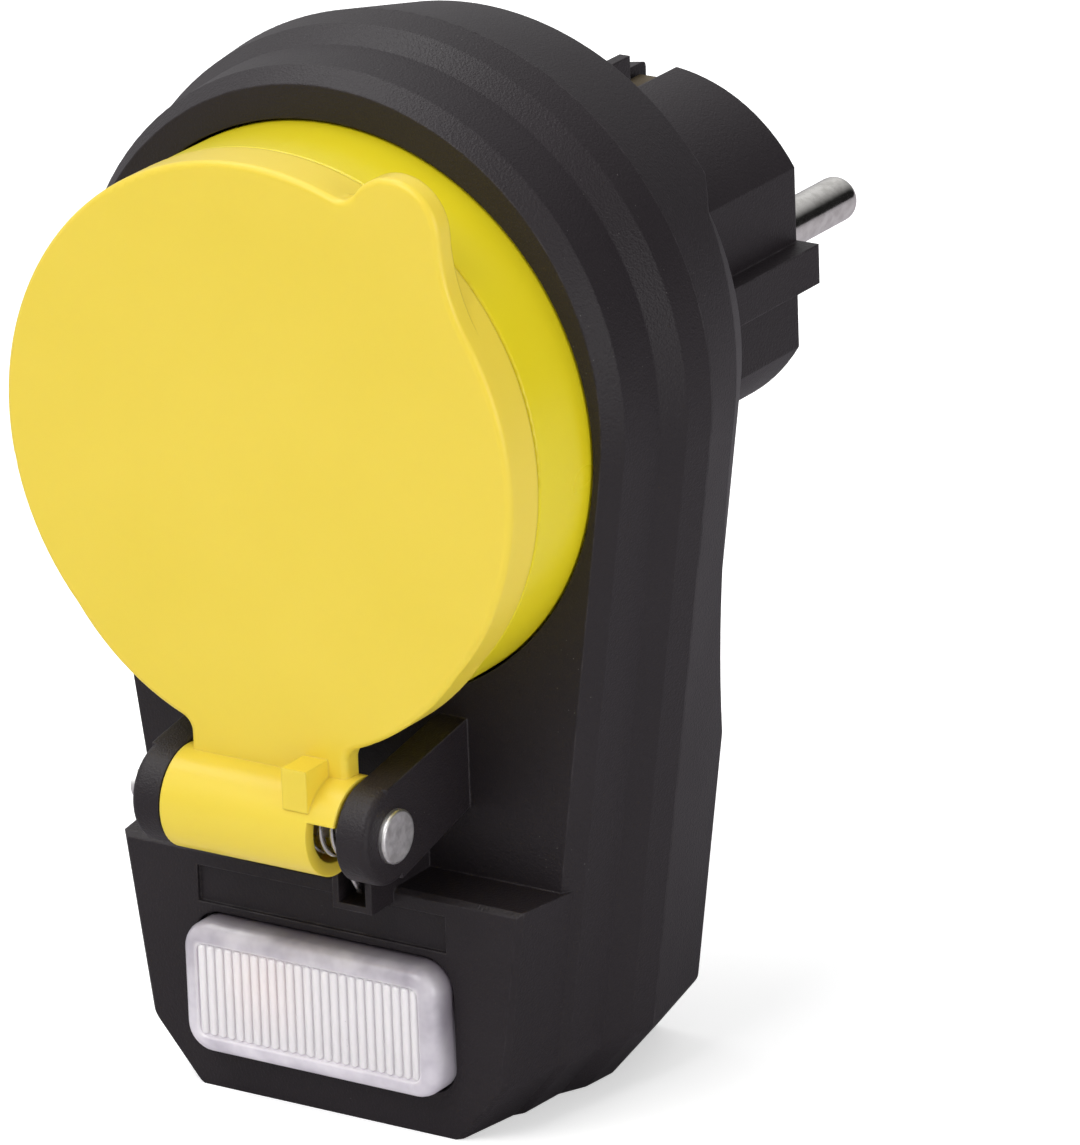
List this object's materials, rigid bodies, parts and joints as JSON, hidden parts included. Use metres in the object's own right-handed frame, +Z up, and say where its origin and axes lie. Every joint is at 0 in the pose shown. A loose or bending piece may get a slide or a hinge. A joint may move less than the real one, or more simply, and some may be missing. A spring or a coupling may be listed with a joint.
{
  "type": "outdoor socket",
  "caption": "Splash-proof plug-through socket: black stepped housing with a round plug behind, sprung yellow lid over the socket collar and a ribbed indicator window below.",
  "frame": {"origin": "on the stand face, under the middle of the overall width and depth", "axes": "+X to the right seen from the lid, +Y back towards the plug pins, +Z up the housing"},
  "size_m": [0.0686, 0.0988, 0.109],
  "materials": {
    "black_plastic": "fine grain",
    "yellow_plastic": "satin gloss",
    "lens_plastic": "frosted",
    "nickel": "satin nickel",
    "steel": "turned",
    "brass": "bare",
    "rubber": "soft",
    "board": "lacquered",
    "relay_case": "smooth",
    "capacitor_case": "smooth",
    "lamp_glass": "clear"
  },
  "bodies": {
    "housing": {"front_housing": "black_plastic", "rear_housing": "black_plastic", "housing_gasket": "rubber", "housing_screws": "steel", "plug_body": "black_plastic", "plug_seal": "rubber", "plug_screws": "steel", "left_plug_pin": "nickel", "right_plug_pin": "nickel", "plug_earth_strip": "brass", "socket_collar": "yellow_plastic", "collar_gasket": "rubber", "socket_insert": "black_plastic", "insert_screws": "steel", "left_contact": "brass", "right_contact": "brass", "socket_earth_clip": "brass", "earth_bridge": "brass", "live_busbar": "brass", "switched_busbar": "brass", "neutral_busbar": "brass", "indicator_lens": "lens_plastic", "lens_gasket": "rubber", "circuit_board": "board", "board_screws": "steel", "relay": "relay_case", "capacitor": "capacitor_case", "indicator_lamp": "lamp_glass", "light_sensor": "black_plastic", "hinge_pin": "steel", "pin_retainer": "steel", "hinge_spring": "steel"},
    "lid": {"lid": "yellow_plastic", "lid_seal": "rubber"}
  },
  "joints": [
    {"name": "lid_hinge", "type": "hinge", "parent": "housing", "child": "lid", "pos_m": [0, -0.04415, 0.0347], "axis": [1, 0, 0], "range_deg": [0, 110], "stiffness_Nm_per_rad": 0.018, "springref_deg": -51.57, "deforming": ["hinge_spring"]}
  ]
}
